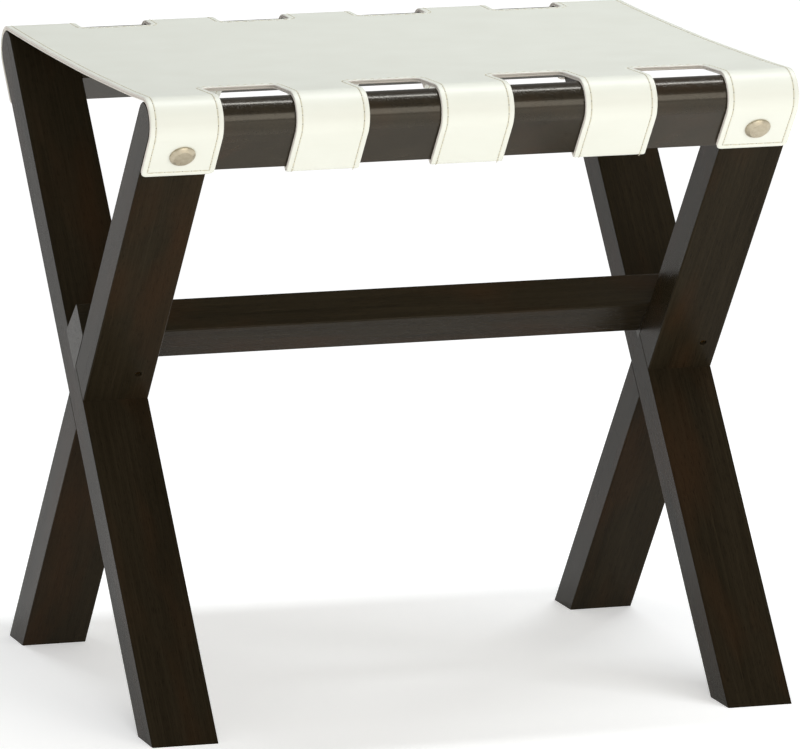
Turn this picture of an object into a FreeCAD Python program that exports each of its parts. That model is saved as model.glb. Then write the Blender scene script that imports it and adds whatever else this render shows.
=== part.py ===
"""Luggage rack: an X frame of dark stained wood that carries a sewn leather seat.

Frame: origin on the floor, midway between the four feet. +X runs along the rails, +Y to the
back, +Z up. Millimetres. Each end of the rack has two legs that are halved into each other.
A front-rail leg runs from the front rail down to the back, and a back-rail leg the other way.
"""

import FreeCAD
import Part
import math
import os

# ---- driving dimensions -------------------------------------------------------------------
overall_width = 590.0        # X, outer face to outer face of the legs
leg_width = 60.0             # X
leg_thickness = 38.0         # square to the leg's wide face
leg_tilt = 40.0              # degrees from upright
cross_height = 267.0         # floor to the centre of the crossing
leg_reach = 365.0            # crossing to the centre of the round leg top, along the leg
rail_depth = 63.0            # along the leg, from the rail's round top to its square bottom
eased_edge = 1.5             # radius on the long edges of the wood

stretcher_depth = 46.0       # square to the back-rail leg's face
stretcher_breadth = 33.0     # along the back-rail leg
housing_depth = 7.5          # stretcher let into the back-rail legs
stretcher_clearance = 0.1    # to the front-rail legs' faces

tab_count = 5                # along each rail, with slots of the same width between them
seat_sag = 3.5               # of the seat's middle below the tops of the rails
front_slot_edge = 185.0      # seat's middle to the inner edges of the front slots
back_slot_edge = 210.0       # and of the back slots, which are shorter
leather_gap = 0.2            # wood to lining
lining_thickness = 1.7
layer_gap = 0.1
face_thickness = 2.0
tab_return = 30.0            # length of a middle tab under its rail
tab_corner_radius = 5.0      # at the free end of a corner tab
slot_corner_radius = 6.0     # at the inner corners of the slots
stitch_inset = 5.0           # from the leather's cut edge
thread_width = 0.8
thread_height = 0.5

stud_radius = 11.5
stud_height = 4.2
stud_rim = 1.5               # height of the stud's upright rim
stud_bevel = 3.2             # width of the bevel round the stud's top
stud_up = 26.0               # stud's centre above the end of its tab
stud_shank_radius = 2.5
stud_shank_length = 28.0     # in the wood

screw_along = 50.0           # crossing to the stretcher screws, along the front-rail leg
screw_across = 0.75          # share of the leg's width, from its left face
counterbore_radius = 3.2
counterbore_depth = 3.0
screw_head_radius = 3.0
screw_head_height = 2.0
screw_drive_radius = 1.2
screw_drive_depth = 1.2
screw_radius = 2.0
screw_bite = 24.0            # length of the screw in the stretcher

dowel_radius = 4.0
dowel_half = 25.0            # length of a rail dowel in each piece
dowel_from_edge = 14.0       # lower rail dowel above the rail's bottom
dowel_spacing = 27.0
stretcher_dowel_offset = 15.0
stretcher_dowel_in_leg = 14.0
stretcher_dowel_in_bar = 16.0
crossing_dowel_radius = 5.0
crossing_dowel_half = 18.0

tab_screw_offset = 18.0      # from the tab's centre line
tab_screw_in = 20.0          # from the rail's outer face
tab_screw_radius = 2.0
tab_screw_length = 22.0      # in the rail
tab_screw_head_radius = 4.0
tab_screw_head_height = 2.4
washer_radius = 6.5
washer_thickness = 1.0

# ---- worked out from them -----------------------------------------------------------------
half_width = overall_width / 2
half_thick = leg_thickness / 2
tilt = math.radians(leg_tilt)
sin_tilt = math.sin(tilt)
cos_tilt = math.cos(tilt)
rail_bottom = leg_reach + half_thick - rail_depth
tab_width = overall_width / (2 * tab_count - 1)

stretcher_seat = housing_depth - half_thick
stretcher_top = stretcher_seat - stretcher_depth

top_y = leg_reach * sin_tilt
top_z = cross_height + leg_reach * cos_tilt
hang_rise = (top_y ** 2 - seat_sag ** 2) / (2 * seat_sag)
hang_radius = hang_rise - half_thick + seat_sag
hang_z = top_z + hang_rise

lining_inner = leather_gap
lining_outer = lining_inner + lining_thickness
face_inner = lining_outer + layer_gap
face_outer = face_inner + face_thickness

touch = 0.01                 # two places nearer than this are one
FRONT = -1
BACK = 1
LEFT = -1
RIGHT = 1
SIDE_NAME = {LEFT: "left", RIGHT: "right"}
RAIL_NAME = {FRONT: "front", BACK: "back"}
SLOT_EDGE = {FRONT: front_slot_edge, BACK: back_slot_edge}
X_AXIS = FreeCAD.Vector(1, 0, 0)


# ---- places -------------------------------------------------------------------------------
def place(rail, along, out, x=0.0):
    """Point at a distance along a leg from the crossing, and out from its middle plane."""
    y = rail * (along * sin_tilt + out * cos_tilt)
    z = cross_height + along * cos_tilt - out * sin_tilt
    return FreeCAD.Vector(x, y, z)


def along_dir(rail):
    """Direction up a leg."""
    return FreeCAD.Vector(0, rail * sin_tilt, cos_tilt)


def out_dir(rail):
    """Direction out of a leg's outer, downward face."""
    return FreeCAD.Vector(0, rail * cos_tilt, -sin_tilt)


def leg_span(side):
    """Lowest and highest X of the legs at one side."""
    if side == LEFT:
        return -half_width, -half_width + leg_width
    return half_width - leg_width, half_width


def leg_middle(side):
    """X of the middle of the legs at one side."""
    low, high = leg_span(side)
    return (low + high) / 2


# ---- shape helpers ------------------------------------------------------------------------
def line(a, b):
    """Straight edge between two points."""
    return Part.LineSegment(a, b).toShape()


def arc(a, b, c):
    """Round edge through three points."""
    return Part.Arc(a, b, c).toShape()


def prism(edges, x_low, x_high):
    """Solid between two X planes, with its outline given as edges in the YZ plane."""
    face = Part.Face(Part.Wire(Part.__sortEdges__(edges)))
    solid = face.extrude(X_AXIS * (x_high - x_low))
    solid.translate(X_AXIS * x_low)
    return solid


def polygon(corners, x_low, x_high):
    """Solid between two X planes, with straight sides from corner to corner."""
    sides = [line(corners[i - 1], corners[i]) for i in range(len(corners))]
    return prism(sides, x_low, x_high)


def slab(rail, along_low, along_high, out_low, out_high, x_low, x_high):
    """Square block in a leg's own directions."""
    corners = [
        place(rail, along_low, out_low),
        place(rail, along_high, out_low),
        place(rail, along_high, out_high),
        place(rail, along_low, out_high),
    ]
    return polygon(corners, x_low, x_high)


def ease(solid, keep, radius):
    """Round the edges that the test keeps."""
    return solid.makeFillet(radius, [edge for edge in solid.Edges if keep(edge)])


def along_x(edge):
    """Whether an edge runs along X."""
    span = edge.BoundBox
    return span.XLength > touch and span.YLength < touch and span.ZLength < touch


def floor_along(out):
    """Where a line along a leg, at a distance out from its middle plane, meets the floor."""
    return (out * sin_tilt - cross_height) / cos_tilt


def other_face(out):
    """Where a line along a back-rail leg, at a distance out, meets a front-rail leg's face."""
    face = half_thick + stretcher_clearance
    return (face - out * math.cos(2 * tilt)) / math.sin(2 * tilt)


def round_board(rail, low_out, low_in, x_low, x_high):
    """Board with a full round top, whose bottom runs between two places along it."""
    foot_out = place(rail, low_out, half_thick)
    foot_in = place(rail, low_in, -half_thick)
    top_out = place(rail, leg_reach, half_thick)
    top_in = place(rail, leg_reach, -half_thick)
    crown = place(rail, leg_reach + half_thick, 0)
    edges = [
        line(foot_out, top_out),
        arc(top_out, crown, top_in),
        line(top_in, foot_in),
        line(foot_in, foot_out),
    ]
    return prism(edges, x_low, x_high)


def rod(start, direction, radius, length, end_radius=None):
    """Plain rod, or a cone where its end has another radius."""
    if end_radius is None:
        return Part.makeCylinder(radius, length, start, direction)
    return Part.makeCone(radius, end_radius, length, start, direction)


def cut_all(solid, tools):
    """Solid with every tool cut away."""
    for tool in tools:
        solid = solid.cut(tool)
    return solid


# ---- hardware -----------------------------------------------------------------------------
def stud_seat(rail, side):
    """Centre of a corner stud, on the outer face of the leather."""
    x = side * (half_width - tab_width / 2)
    return place(rail, rail_bottom + stud_up, half_thick + face_outer, x)


def stud_shank(rail, side, radius):
    """Shank of a corner stud, from under its head into the leg."""
    length = face_outer + stud_shank_length
    return rod(stud_seat(rail, side), out_dir(rail) * -1, radius, length)


def corner_stud(rail, side):
    """Bevelled round head on a plain shank."""
    seat = stud_seat(rail, side)
    axis = out_dir(rail)
    rim = rod(seat, axis, stud_radius, stud_rim)
    bevel = rod(seat + axis * stud_rim, axis, stud_radius, stud_height - stud_rim,
                stud_radius - stud_bevel)
    return rim.fuse(bevel).fuse(stud_shank(rail, side, stud_shank_radius)).removeSplitter()


def screw_start(side):
    """Point on the front-rail leg's outer face where a stretcher screw goes in."""
    x = leg_span(side)[0] + screw_across * leg_width
    return place(FRONT, screw_along, half_thick, x)


def screw_parts(side):
    """Counterbore, head and shank of a stretcher screw, as three plain rods."""
    start = screw_start(side)
    inward = out_dir(FRONT) * -1
    under_head = counterbore_depth + screw_head_height
    counterbore = rod(start, inward, counterbore_radius, under_head)
    head = rod(start + inward * counterbore_depth, inward, screw_head_radius, screw_head_height)
    length = leg_thickness - under_head + screw_bite
    shank = rod(start + inward * under_head, inward, screw_radius, length)
    return counterbore, head, shank


def stretcher_screw(side):
    """Screw through a front-rail leg into the stretcher, with a socket in its head."""
    head, shank = screw_parts(side)[1:]
    inward = out_dir(FRONT) * -1
    socket = rod(screw_start(side) + inward * counterbore_depth, inward,
                 screw_drive_radius, screw_drive_depth)
    return head.cut(socket).fuse(shank).removeSplitter()


def rail_dowels(rail, side):
    """Two dowels across the joint between a rail's end and its leg."""
    joint_x = side * (half_width - leg_width)
    dowels = []
    for step in range(2):
        along = rail_bottom + dowel_from_edge + step * dowel_spacing
        start = place(rail, along, 0, joint_x - dowel_half)
        dowels.append(rod(start, X_AXIS, dowel_radius, 2 * dowel_half))
    return dowels


def stretcher_dowels(side):
    """Two dowels from the bottom of the housing into the stretcher and the leg."""
    along = other_face(stretcher_top) + stretcher_breadth / 2
    dowels = []
    for offset in (-stretcher_dowel_offset, stretcher_dowel_offset):
        x = leg_middle(side) + offset
        start = place(BACK, along, stretcher_seat - stretcher_dowel_in_bar, x)
        length = stretcher_dowel_in_bar + stretcher_dowel_in_leg
        dowels.append(rod(start, out_dir(BACK), dowel_radius, length))
    return dowels


def crossing_dowel(side):
    """Blind dowel through the two halves of a crossing."""
    start = place(FRONT, 0, 0, leg_middle(side) - crossing_dowel_half)
    return rod(start, X_AXIS, crossing_dowel_radius, 2 * crossing_dowel_half)


def middle_tab_centres():
    """X of each tab that wraps under its rail."""
    first = -half_width + tab_width / 2
    return [first + 2 * tab_width * i for i in range(1, tab_count - 1)]


def tab_fixings(rail, start_depth, radius, length, end_radius=None):
    """Rods at the places of the tab screws, from a depth below the rail's bottom, upwards."""
    rods = []
    for centre in middle_tab_centres():
        for offset in (-tab_screw_offset, tab_screw_offset):
            start = place(rail, rail_bottom - start_depth, half_thick - tab_screw_in,
                          centre + offset)
            rods.append(rod(start, along_dir(rail), radius, length, end_radius))
    return rods


def tab_washers(rail):
    """Plain washers between the leather and the screw heads."""
    depth = face_outer + washer_thickness
    discs = tab_fixings(rail, depth, washer_radius, washer_thickness)
    holes = tab_fixings(rail, depth, tab_screw_radius, washer_thickness)
    return [disc.cut(hole) for disc, hole in zip(discs, holes)]


def tab_screws(rail):
    """Pan-head screws up through the washers and the leather into the rail."""
    under_head = face_outer + washer_thickness
    half_head = tab_screw_head_height / 2
    crowns = tab_fixings(rail, under_head + tab_screw_head_height, tab_screw_head_radius / 2,
                         half_head, tab_screw_head_radius)
    heads = tab_fixings(rail, under_head + half_head, tab_screw_head_radius, half_head)
    shanks = tab_fixings(rail, under_head, tab_screw_radius, under_head + tab_screw_length)
    return [crown.fuse(head).fuse(shank).removeSplitter()
            for crown, head, shank in zip(crowns, heads, shanks)]


# ---- wood ---------------------------------------------------------------------------------
def housing(side):
    """Room that the stretcher's end takes, down to the front-rail leg's face."""
    high = other_face(stretcher_top) + stretcher_breadth
    corners = [
        place(BACK, other_face(stretcher_top), stretcher_top),
        place(BACK, high, stretcher_top),
        place(BACK, high, stretcher_seat),
        place(BACK, other_face(stretcher_seat), stretcher_seat),
    ]
    return polygon(corners, *leg_span(side))


def heel(side):
    """Wedge under the stretcher's end that fills the V between the two legs."""
    start = stretcher_top + eased_edge
    high = other_face(stretcher_top) + eased_edge
    corners = [
        place(BACK, high, start),
        place(BACK, other_face(start), start),
        place(BACK, other_face(stretcher_seat), stretcher_seat),
        place(BACK, high, stretcher_seat),
    ]
    return polygon(corners, *leg_span(side))


def leg(rail, side):
    """Leg with a round top, a foot flat on the floor and half of the crossing cut away."""
    x_low, x_high = leg_span(side)
    middle = leg_middle(side)
    body = round_board(rail, floor_along(half_thick), floor_along(-half_thick), x_low, x_high)
    body = ease(body, lambda edge: not along_x(edge) and edge.BoundBox.ZMax > touch, eased_edge)
    reach = 2 * leg_thickness
    if rail == BACK:
        notch = slab(FRONT, -reach, reach, -half_thick, half_thick, middle, x_high)
    else:
        notch = slab(BACK, -reach, reach, -half_thick, half_thick, x_low, middle)
    tools = [notch, crossing_dowel(side), stud_shank(rail, side, stud_shank_radius)]
    tools += rail_dowels(rail, side)
    if rail == BACK:
        tools.append(housing(side))
        tools += stretcher_dowels(side)
    else:
        counterbore, _, shank = screw_parts(side)
        tools += [counterbore, shank]
    return cut_all(body, tools)


def top_rail(rail):
    """Rail between two legs, flush with them, with a full round top edge."""
    inner = half_width - leg_width
    body = round_board(rail, rail_bottom, rail_bottom, -inner, inner)
    shoulder = place(rail, (rail_bottom + leg_reach) / 2, half_thick).z
    body = ease(body, lambda edge: along_x(edge) and edge.BoundBox.ZMax < shoulder, eased_edge)
    tools = rail_dowels(rail, LEFT) + rail_dowels(rail, RIGHT)
    shank_depth = face_outer + washer_thickness
    tools += tab_fixings(rail, shank_depth, tab_screw_radius, shank_depth + tab_screw_length)
    return cut_all(body, tools)


def stretcher_bar():
    """Square bar across both crossings, housed in the back-rail legs, with a heel at each end."""
    low = other_face(stretcher_top)
    body = slab(BACK, low, low + stretcher_breadth, stretcher_top, stretcher_seat,
                -half_width, half_width)
    body = ease(body, along_x, eased_edge).fuse(heel(LEFT)).fuse(heel(RIGHT)).removeSplitter()
    tools = []
    for side in (LEFT, RIGHT):
        tools += stretcher_dowels(side)
        tools.append(screw_parts(side)[2])
    return cut_all(body, tools)


# ---- leather ------------------------------------------------------------------------------
def hang_point(offset, y):
    """Point on the hanging part of the seat, at an offset out from the wood."""
    z = hang_z - math.sqrt((hang_radius - offset) ** 2 - y ** 2)
    return FreeCAD.Vector(0, y, z)


def crown_point(offset, turn):
    """Point over the front rail's round top, at a turn from the seat's side to the front."""
    radius = half_thick + offset
    lean = math.atan2(top_y, hang_rise)
    angle = math.pi / 2 - lean + turn
    return FreeCAD.Vector(0, -top_y + radius * math.cos(angle), top_z + radius * math.sin(angle))


def front_path(offset, start_y, under):
    """Edges from the seat over the front rail to the end of a tab."""
    crown_turn = math.pi / 2 + tilt + math.atan2(top_y, hang_rise)
    lift = crown_point(offset, 0)
    over = place(FRONT, leg_reach, half_thick + offset)
    end = place(FRONT, rail_bottom, half_thick + offset)
    edges = [
        arc(hang_point(offset, start_y), hang_point(offset, (start_y + lift.y) / 2), lift),
        arc(lift, crown_point(offset, crown_turn / 2), over),
        line(over, end),
    ]
    if under:
        corner = offset / math.sqrt(2)
        bend = place(FRONT, rail_bottom - corner, half_thick + corner)
        below = place(FRONT, rail_bottom - offset, half_thick)
        edges.append(arc(end, bend, below))
        end = place(FRONT, rail_bottom - offset, half_thick - tab_return)
        edges.append(line(below, end))
    return edges, end


def tab_band(inner, outer, start_y, under, x_low, x_high):
    """Strip of leather or thread from the seat over the front rail, between two offsets."""
    near, near_end = front_path(inner, start_y, under)
    far, far_end = front_path(outer, start_y, under)
    caps = [line(hang_point(inner, start_y), hang_point(outer, start_y)), line(near_end, far_end)]
    return prism(near + far + caps, x_low, x_high)


def hang_band(inner, outer, y_low, y_high, x_low, x_high):
    """Strip of the hanging seat between two Y planes and two offsets."""
    edges = []
    ends = []
    for offset in (inner, outer):
        low = hang_point(offset, y_low)
        high = hang_point(offset, y_high)
        edges.append(arc(low, hang_point(offset, (y_low + y_high) / 2), high))
        ends.append((low, high))
    edges.append(line(ends[0][0], ends[1][0]))
    edges.append(line(ends[0][1], ends[1][1]))
    return prism(edges, x_low, x_high)


def mirrored_back(solid):
    """Copy of a front piece at the back."""
    return solid.mirror(FreeCAD.Vector(0, 0, 0), FreeCAD.Vector(0, 1, 0))


def leather_strip(inner, outer, under, x_low, x_high):
    """Strip of the seat over both rails, before its slots are cut."""
    front = tab_band(inner, outer, 0, under, x_low, x_high)
    if not under:
        front = round_tab_end(front, (x_low, x_high))
    return front.fuse(mirrored_back(front))


def round_tab_end(tab, x_sides):
    """Round the free corners at the end of a corner tab that are on the given sides."""
    end_z = place(FRONT, rail_bottom, half_thick).z

    def at_end(edge):
        span = edge.BoundBox
        on_side = span.XLength < touch and min(abs(span.XMin - x) for x in x_sides) < touch
        return on_side and span.ZMax < end_z + half_thick and edge.Length < half_thick

    return ease(tab, at_end, tab_corner_radius)


def slot_cutter(rail, index):
    """Upright block the shape of a slot, with its two inner corners rounded."""
    x_low = -half_width + (2 * index + 1) * tab_width
    inner_y = SLOT_EDGE[rail]
    block = Part.makeBox(tab_width, top_y, top_z, FreeCAD.Vector(x_low, inner_y, top_z / 2))
    inner = [edge for edge in block.Edges
             if edge.BoundBox.ZLength > touch and edge.BoundBox.YMax < inner_y + touch]
    block = block.makeFillet(slot_corner_radius, inner)
    return block if rail == BACK else mirrored_back(block)


def leather_layer(inner, outer):
    """One layer of the seat: a middle panel with five tabs over each rail."""
    middle = half_width - 2 * tab_width
    solid = leather_strip(inner, outer, True, -middle, middle)
    for side in (LEFT, RIGHT):
        edge_x = side * half_width
        slot_x = side * (half_width - tab_width)
        corner = leather_strip(inner, outer, False, min(edge_x, slot_x), max(edge_x, slot_x))
        joint_x = side * middle
        link = hang_band(inner, outer, -top_y, top_y, min(joint_x, slot_x), max(joint_x, slot_x))
        solid = solid.fuse(corner).fuse(link)
    tools = []
    for rail in (FRONT, BACK):
        tools += [slot_cutter(rail, index) for index in range(tab_count - 1)]
        tools += [stud_shank(rail, side, stud_shank_radius) for side in (LEFT, RIGHT)]
        tools += tab_fixings(rail, 2 * face_outer, tab_screw_radius, 2 * face_outer)
    return cut_all(solid, tools)


def seam(x, start_y, under):
    """Line of thread from the seat to the end of a tab, at one X."""
    return tab_band(face_outer, face_outer + thread_height, start_y, under,
                    x - thread_width / 2, x + thread_width / 2)


def slot_seam(seam_y, x_low, x_high):
    """Line of thread across the seat beside a front slot's inner edge."""
    half = thread_width / 2
    return hang_band(face_outer, face_outer + thread_height, seam_y - half, seam_y + half,
                     x_low + half, x_high - half)


def seat_stitching():
    """Thread along the sides of the seat, both edges of every tab and the slots' inner edges."""
    strips = []
    for rail in (FRONT, BACK):
        seam_y = stitch_inset - SLOT_EDGE[rail]
        front = []
        for index in range(tab_count):
            left = -half_width + 2 * index * tab_width + stitch_inset
            right = left + tab_width - 2 * stitch_inset
            under = index not in (0, tab_count - 1)
            front.append(seam(left, seam_y if index else 0, under))
            front.append(seam(right, seam_y if index < tab_count - 1 else 0, under))
            if index < tab_count - 1:
                front.append(slot_seam(seam_y, right, right + tab_width + 2 * stitch_inset))
        strips += front if rail == FRONT else [mirrored_back(strip) for strip in front]
    return strips


# ---- write every node ---------------------------------------------------------------------
def write(node, solids):
    """Write a node's solids as one STEP file."""
    shape = solids[0] if len(solids) == 1 else Part.makeCompound(solids)
    shape.exportStep("parts/" + node + ".step")


def main():
    """Build and write every node."""
    os.makedirs("parts", exist_ok=True)
    write("stretcher_bar", [stretcher_bar()])
    write("seat_leather_face", [leather_layer(face_inner, face_outer)])
    write("seat_leather_lining", [leather_layer(lining_inner, lining_outer)])
    write("seat_stitching", seat_stitching())
    for rail in (FRONT, BACK):
        name = RAIL_NAME[rail]
        write(name + "_top_rail", [top_rail(rail)])
        write(name + "_tab_screws", tab_screws(rail))
        write(name + "_tab_washers", tab_washers(rail))
        for side in (LEFT, RIGHT):
            write(name + "_rail_leg_" + SIDE_NAME[side], [leg(rail, side)])
            write(name + "_rail_dowels_" + SIDE_NAME[side], rail_dowels(rail, side))
            write("corner_stud_" + name + "_" + SIDE_NAME[side], [corner_stud(rail, side)])
    for side in (LEFT, RIGHT):
        write("stretcher_screw_" + SIDE_NAME[side], [stretcher_screw(side)])
        write("stretcher_dowels_" + SIDE_NAME[side], stretcher_dowels(side))
        write("crossing_dowel_" + SIDE_NAME[side], [crossing_dowel(side)])


main()
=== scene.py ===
"""Looks of a luggage rack: stained wood, a sewn leather seat of two layers, and metal fittings.

Metres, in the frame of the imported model: +X along the rails, +Y to the back, +Z up, and the
floor at Z 0. The wood, dowels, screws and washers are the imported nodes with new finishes. The
leather, its stitching and the corner studs are new pieces that stand for their nodes.
"""

import logging
import math
import random
from collections.abc import Callable, Iterator
from dataclasses import dataclass, field
from enum import Enum

import bmesh
import bpy
from mathutils import Euler, Matrix, Vector, noise


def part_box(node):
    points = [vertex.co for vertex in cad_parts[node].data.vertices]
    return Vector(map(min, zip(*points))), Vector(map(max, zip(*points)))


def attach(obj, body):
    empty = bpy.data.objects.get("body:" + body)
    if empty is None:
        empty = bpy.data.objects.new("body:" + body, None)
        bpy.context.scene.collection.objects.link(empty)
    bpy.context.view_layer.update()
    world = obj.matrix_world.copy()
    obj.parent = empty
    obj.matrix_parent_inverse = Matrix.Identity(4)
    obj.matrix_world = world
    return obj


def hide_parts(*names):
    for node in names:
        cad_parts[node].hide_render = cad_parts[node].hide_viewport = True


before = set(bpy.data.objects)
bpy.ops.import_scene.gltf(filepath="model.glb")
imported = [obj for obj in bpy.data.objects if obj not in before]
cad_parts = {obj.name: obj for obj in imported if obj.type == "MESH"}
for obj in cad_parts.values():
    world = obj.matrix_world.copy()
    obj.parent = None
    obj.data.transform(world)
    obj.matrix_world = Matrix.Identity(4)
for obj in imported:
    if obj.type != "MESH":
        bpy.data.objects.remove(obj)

BODY = "root"
MM = 0.001
Colour = tuple[float, float, float]
Spot = tuple[float, float]
Value = bpy.types.NodeSocket | float | tuple[float, ...]
log = logging.getLogger("luggage_rack")


class Rail(Enum):
    """A top rail, by the sign of its Y."""

    FRONT = -1
    BACK = 1


class Side(Enum):
    """An end of the rack, by the sign of its X."""

    LEFT = -1
    RIGHT = 1


class Coordinates(Enum):
    """Where a finish reads its pattern from."""

    OBJECT = "Object"
    FLAT = "UV"


def stain(red: int, green: int, blue: int) -> Colour:
    """Turn a colour from 0 to 255, as a screen shows it, into the linear values of shaders."""
    return tuple((part / 255) ** 2.2 for part in (red, green, blue))


# ---- shader trees ---------------------------------------------------------------------------
class FinishTree:
    """Nodes of one material, added one step at a time and joined to its surface shader."""

    def __init__(self, name: str) -> None:
        """Start a material with a plain surface shader.

        Args:
            name: the material's name.
        """
        self.material = bpy.data.materials.new(name)
        self.material.use_nodes = True
        self.tree = self.material.node_tree
        self.surface = self.tree.nodes["Principled BSDF"]

    def add(self, kind: str, inputs: dict[str | int, Value], **settings: object) -> bpy.types.Node:
        """Add a node.

        Args:
            kind: the node's type.
            inputs: what each input takes, by its name or place: a socket or a constant.
            settings: the node's own settings.

        Returns:
            The new node.
        """
        node = self.tree.nodes.new(kind)
        for key, value in settings.items():
            setattr(node, key, value)
        self.feed(node, inputs)
        return node

    def feed(self, node: bpy.types.Node, inputs: dict[str | int, Value]) -> None:
        """Join sockets to a node's inputs, or set constants on them.

        Args:
            node: the node.
            inputs: what each input takes, by its name or place.
        """
        for key, value in inputs.items():
            if isinstance(value, bpy.types.NodeSocket):
                self.tree.links.new(value, node.inputs[key])
            else:
                node.inputs[key].default_value = value

    def place(self, source: Coordinates, turn: Colour = (0, 0, 0), centre: Colour = (0, 0, 0)) -> Value:
        """Coordinates that lie along a piece.

        Args:
            source: what the coordinates are read from.
            turn: turn of the pattern about X, Y and Z.
            centre: where the pattern's own middle is.

        Returns:
            The coordinates' socket.
        """
        start = self.add("ShaderNodeTexCoord", {}).outputs[source.value]
        inputs = {"Vector": start, "Location": centre, "Rotation": turn}
        return self.add("ShaderNodeMapping", inputs, vector_type="TEXTURE").outputs[0]

    def stretch(self, vector: Value, grain: Colour) -> Value:
        """Coordinates in metres, counted in grains of a size along X, Y and Z."""
        inputs = {"Vector": vector, "Scale": grain}
        return self.add("ShaderNodeMapping", inputs, vector_type="TEXTURE").outputs[0]

    def clouds(self, vector: Value, detail: float = 3, roughness: float = 0.5, swirl: float = 0) -> Value:
        """Soft noise around a half, with one cloud to each unit of its coordinates."""
        inputs = {"Vector": vector, "Scale": 1.0, "Detail": detail, "Roughness": roughness,
                  "Distortion": swirl}
        return self.add("ShaderNodeTexNoise", inputs).outputs["Fac"]

    def band(self, value: Value, low: float, high: float, floor: float = 0, top: float = 1) -> Value:
        """Spread the values from low to high over those from floor to top."""
        inputs = {"Value": value, "From Min": low, "From Max": high, "To Min": floor, "To Max": top}
        return self.add("ShaderNodeMapRange", inputs).outputs[0]

    def sum(self, first: Value, second: Value, share: float = 1) -> Value:
        """Add a share of the second value to the first."""
        inputs = {0: second, 1: share, 2: first}
        return self.add("ShaderNodeMath", inputs, operation="MULTIPLY_ADD").outputs[0]

    def blend(self, share: Value, first: Value, second: Value) -> Value:
        """Mix two colours.

        Args:
            share: share of the second colour.
            first: the colour at 0.
            second: the colour at 1.

        Returns:
            The mixed colour.
        """
        ends = [end if isinstance(end, bpy.types.NodeSocket) else (*end, 1) for end in (first, second)]
        inputs = {0: share, 6: ends[0], 7: ends[1]}
        return self.add("ShaderNodeMix", inputs, data_type="RGBA").outputs[2]

    def relief(self, height: Value, depth: float, strength: float = 1, under: Value | None = None) -> Value:
        """Bend the surface's normal by a height.

        Args:
            height: the height, from 0 to 1.
            depth: the real height that 1 stands for.
            strength: share of the effect.
            under: relief that this one lies on.

        Returns:
            The bent normal.
        """
        inputs = {"Height": height, "Distance": depth, "Strength": strength}
        if under is not None:
            inputs["Normal"] = under
        return self.add("ShaderNodeBump", inputs).outputs[0]

    def finish(self, **sockets: Value) -> bpy.types.Material:
        """Set the surface shader's inputs, named with underscores for spaces."""
        self.feed(self.surface, {key.replace("_", " "): value for key, value in sockets.items()})
        return self.material


# ---- finishes -------------------------------------------------------------------------------
@dataclass(frozen=True)
class EspressoStain:
    """Dark stain and satin lacquer over fine straight grain."""

    dark: Colour = stain(29, 25, 18)
    light: Colour = stain(50, 44, 34)
    pore: Colour = stain(12, 9, 6)
    russet: Colour = stain(56, 40, 27)
    sheen: Colour = (1, 0.93, 0.80)
    patch: Colour = (40 * MM, 40 * MM, 130 * MM)
    streak: Colour = (1.6 * MM, 1.6 * MM, 70 * MM)
    tone: Colour = (24 * MM, 24 * MM, 320 * MM)
    pores: Colour = (0.45 * MM, 0.45 * MM, 9 * MM)
    ring: float = 7 * MM
    gloss: tuple[float, float] = (0.30, 0.22)
    shine: float = 0.03

    def material(self, name: str, turn: Colour, centre: Colour) -> bpy.types.Material:
        """Make the stained wood of one member.

        Args:
            name: the member's name.
            turn: turn that lays the grain's Z along the member.
            centre: a point that gives the member its own part of the pattern.

        Returns:
            The material.
        """
        tree = FinishTree("espresso_" + name)
        along = tree.place(Coordinates.OBJECT, turn, centre)
        streaks = tree.clouds(tree.stretch(along, self.streak), detail=4, roughness=0.6)
        tones = tree.clouds(tree.stretch(along, self.tone), detail=3, swirl=0.6)
        rings = tree.add("ShaderNodeTexWave", {
            "Vector": tree.stretch(along, (self.ring, 4 * self.ring, 40 * self.ring)),
            "Scale": 0.3, "Distortion": 5.0, "Detail": 2.0, "Detail Scale": 0.8,
        }, wave_type="BANDS", bands_direction="X", wave_profile="SAW").outputs["Fac"]
        open_pores = tree.band(tree.clouds(tree.stretch(along, self.pores), detail=2), 0.58, 0.70)
        figure = tree.sum(tree.sum(streaks, tones, 0.8), rings, 0.16)
        patches = tree.band(tree.clouds(tree.stretch(along, self.patch), detail=2), 0.48, 0.72, 0, 0.5)
        wood = tree.blend(tree.band(figure, 0.45, 1.45), self.dark, self.light)
        wood = tree.blend(patches, wood, self.russet)
        colour = tree.blend(tree.band(open_pores, 0, 1, 0, 0.5), wood, self.pore)
        hollow = tree.sum(streaks, open_pores, -1.5)
        return tree.finish(
            Base_Color=colour,
            Roughness=tree.band(figure, 0.6, 1.3, *self.gloss),
            Specular_IOR_Level=self.shine,
            Specular_Tint=(*self.sheen, 1),
            Normal=tree.relief(hollow, 0.03 * MM, 0.7),
        )


@dataclass(frozen=True)
class DowelWood:
    """Plain pale hardwood with a fine grain."""

    dark: Colour = stain(176, 138, 96)
    light: Colour = stain(214, 182, 140)
    grain: Colour = (30 * MM, 0.8 * MM, 0.8 * MM)

    def material(self) -> bpy.types.Material:
        """Make the dowel wood."""
        tree = FinishTree("dowel_beech")
        grain = tree.clouds(tree.stretch(tree.place(Coordinates.OBJECT), self.grain), detail=4)
        return tree.finish(
            Base_Color=tree.blend(tree.band(grain, 0.3, 0.7), self.dark, self.light),
            Roughness=tree.band(grain, 0.3, 0.7, 0.75, 0.6),
            Normal=tree.relief(grain, 0.05 * MM),
        )


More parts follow.
